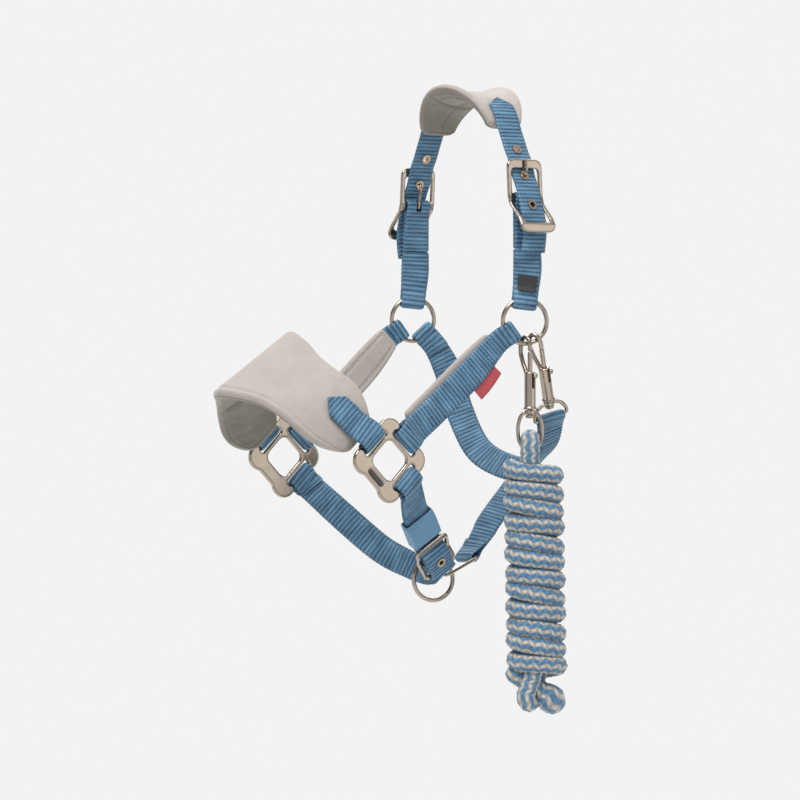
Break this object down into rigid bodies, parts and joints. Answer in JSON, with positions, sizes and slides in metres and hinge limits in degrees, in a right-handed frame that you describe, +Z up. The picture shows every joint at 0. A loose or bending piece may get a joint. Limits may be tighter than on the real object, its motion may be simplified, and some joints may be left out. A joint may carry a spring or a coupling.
{
  "type": "head halter",
  "caption": "Padded pony headcollar with poll and nose pads, adjustable crown and chin buckles, rings and snaps, and a coiled lead rope clipped to the cheek ring.",
  "frame": {"origin": "middle of the poll pad's underside, where the halter rests behind the horse's ears", "axes": "+Z up the worn halter, -X towards the nose, -Y the horse's near side, +Y its far side"},
  "size_m": [0.2546, 0.1757, 0.4396],
  "materials": {
    "webbing": "matte ribbed blue webbing",
    "velvet": "short-pile beige velvet",
    "lining": "quilted taupe fleece",
    "foam": "soft foam",
    "metal": "polished champagne nickel",
    "plaque": "dark enamel",
    "rope": "two-colour solid braid, blue and sand",
    "size_label": "black woven tape",
    "side_tag": "red woven tape"
  },
  "bodies": {
    "headcollar": {"near_crown_strap": "webbing", "near_eyelet_1": "metal", "near_eyelet_2": "metal", "near_eyelet_3": "metal", "near_buckle_frame": "metal", "near_billet": "webbing", "near_cheek_strap": "webbing", "near_cheek_pad": "velvet", "near_fitting": "metal", "near_plaque": "plaque", "near_nose_tab": "webbing", "far_crown_strap": "webbing", "far_eyelet_1": "metal", "far_eyelet_2": "metal", "far_eyelet_3": "metal", "far_buckle_frame": "metal", "far_billet": "webbing", "far_cheek_strap": "webbing", "far_cheek_pad": "velvet", "far_fitting": "metal", "far_plaque": "plaque", "far_nose_tab": "webbing", "poll_pad_lining": "lining", "poll_pad_foam": "foam", "poll_pad_cover": "velvet", "nose_pad_lining": "lining", "nose_pad_foam": "foam", "nose_pad_cover": "velvet", "near_chin_strap": "webbing", "far_chin_strap": "webbing", "chin_eyelet": "metal", "chin_buckle_frame": "metal", "throat_strap": "webbing", "connector_strap": "webbing", "throat_snap_eye": "metal", "size_label": "size_label", "side_tag": "side_tag"},
    "near_tongue": {"near_tongue": "metal"},
    "far_tongue": {"far_tongue": "metal"},
    "chin_tongue": {"chin_tongue": "metal"},
    "chin_keeper": {"chin_keeper": "webbing"},
    "near_ring": {"near_ring": "metal"},
    "far_ring": {"far_ring": "metal"},
    "chin_ring": {"chin_ring": "metal"},
    "connector_ring": {"connector_ring": "metal"},
    "throat_snap": {"throat_snap_body": "metal"},
    "throat_bolt": {"throat_snap_bolt": "metal"},
    "lead_snap": {"lead_snap_body": "metal"},
    "lead_bolt": {"lead_snap_bolt": "metal"},
    "lead_swivel": {"lead_snap_eye": "metal", "lead_rope_loop": "rope", "lead_rope_hank": "rope", "lead_rope_bight": "rope", "lead_rope_knot": "rope"}
  },
  "joints": [
    {"name": "near_tongue_hinge", "type": "hinge", "parent": "headcollar", "child": "near_tongue", "pos_m": [0, -0.066, -0.069], "axis": [1, 0, 0], "range_deg": [-1.5, 1.5]},
    {"name": "far_tongue_hinge", "type": "hinge", "parent": "headcollar", "child": "far_tongue", "pos_m": [0, 0.066, -0.069], "axis": [1, 0, 0], "range_deg": [-1.5, 1.5]},
    {"name": "chin_tongue_hinge", "type": "hinge", "parent": "headcollar", "child": "chin_tongue", "pos_m": [-0.05017, -0.02773, -0.31426], "axis": [0.7842, -0.1938, 0.5894], "range_deg": [-4, 6]},
    {"name": "chin_keeper_slide", "type": "slide", "parent": "headcollar", "child": "chin_keeper", "axis": [0.606, 0.447, -0.658], "range_m": [-0.002, 0.001]},
    {"name": "near_ring_turn", "type": "hinge", "parent": "headcollar", "child": "near_ring", "pos_m": [-0.0025, -0.069, -0.154], "axis": [0.4231, 0.9061, 0], "continuous": true},
    {"name": "far_ring_turn", "type": "hinge", "parent": "headcollar", "child": "far_ring", "pos_m": [-0.0015, 0.069, -0.1505], "axis": [0.4231, 0.9061, 0], "continuous": true},
    {"name": "chin_ring_turn", "type": "hinge", "parent": "headcollar", "child": "chin_ring", "pos_m": [-0.0413, -0.0147, -0.332], "axis": [0.2421, 0.9703, 0], "continuous": true},
    {"name": "connector_ring_hinge", "type": "hinge", "parent": "headcollar", "child": "connector_ring", "pos_m": [-0.0094, -0.0095, -0.3174], "axis": [0, 1, 0], "range_deg": [-4, 0]},
    {"name": "throat_snap_swivel", "type": "hinge", "parent": "headcollar", "child": "throat_snap", "pos_m": [0.0125, -0.07082, -0.18529], "axis": [-0.3574, -0.28, 0.891], "range_deg": [-27, 0]},
    {"name": "throat_bolt_slide", "type": "slide", "parent": "throat_snap", "child": "throat_bolt", "axis": [-0.3574, -0.28, 0.891], "range_m": [-0.006, 0], "stiffness_N_per_m": 250, "springref_m": 0.004},
    {"name": "lead_snap_swing", "type": "hinge", "parent": "headcollar", "child": "lead_snap", "pos_m": [-0.00201, -0.06923, -0.16934], "axis": [-0.9061, 0.4231, 0], "range_deg": [-4, 9]},
    {"name": "lead_bolt_slide", "type": "slide", "parent": "lead_snap", "child": "lead_bolt", "axis": [0, 0, 1], "range_m": [-0.006, 0], "stiffness_N_per_m": 250, "springref_m": 0.004},
    {"name": "lead_swivel_turn", "type": "hinge", "parent": "lead_snap", "child": "lead_swivel", "pos_m": [-0.00143, -0.07369, -0.18884], "axis": [0, 0, 1], "continuous": true}
  ]
}
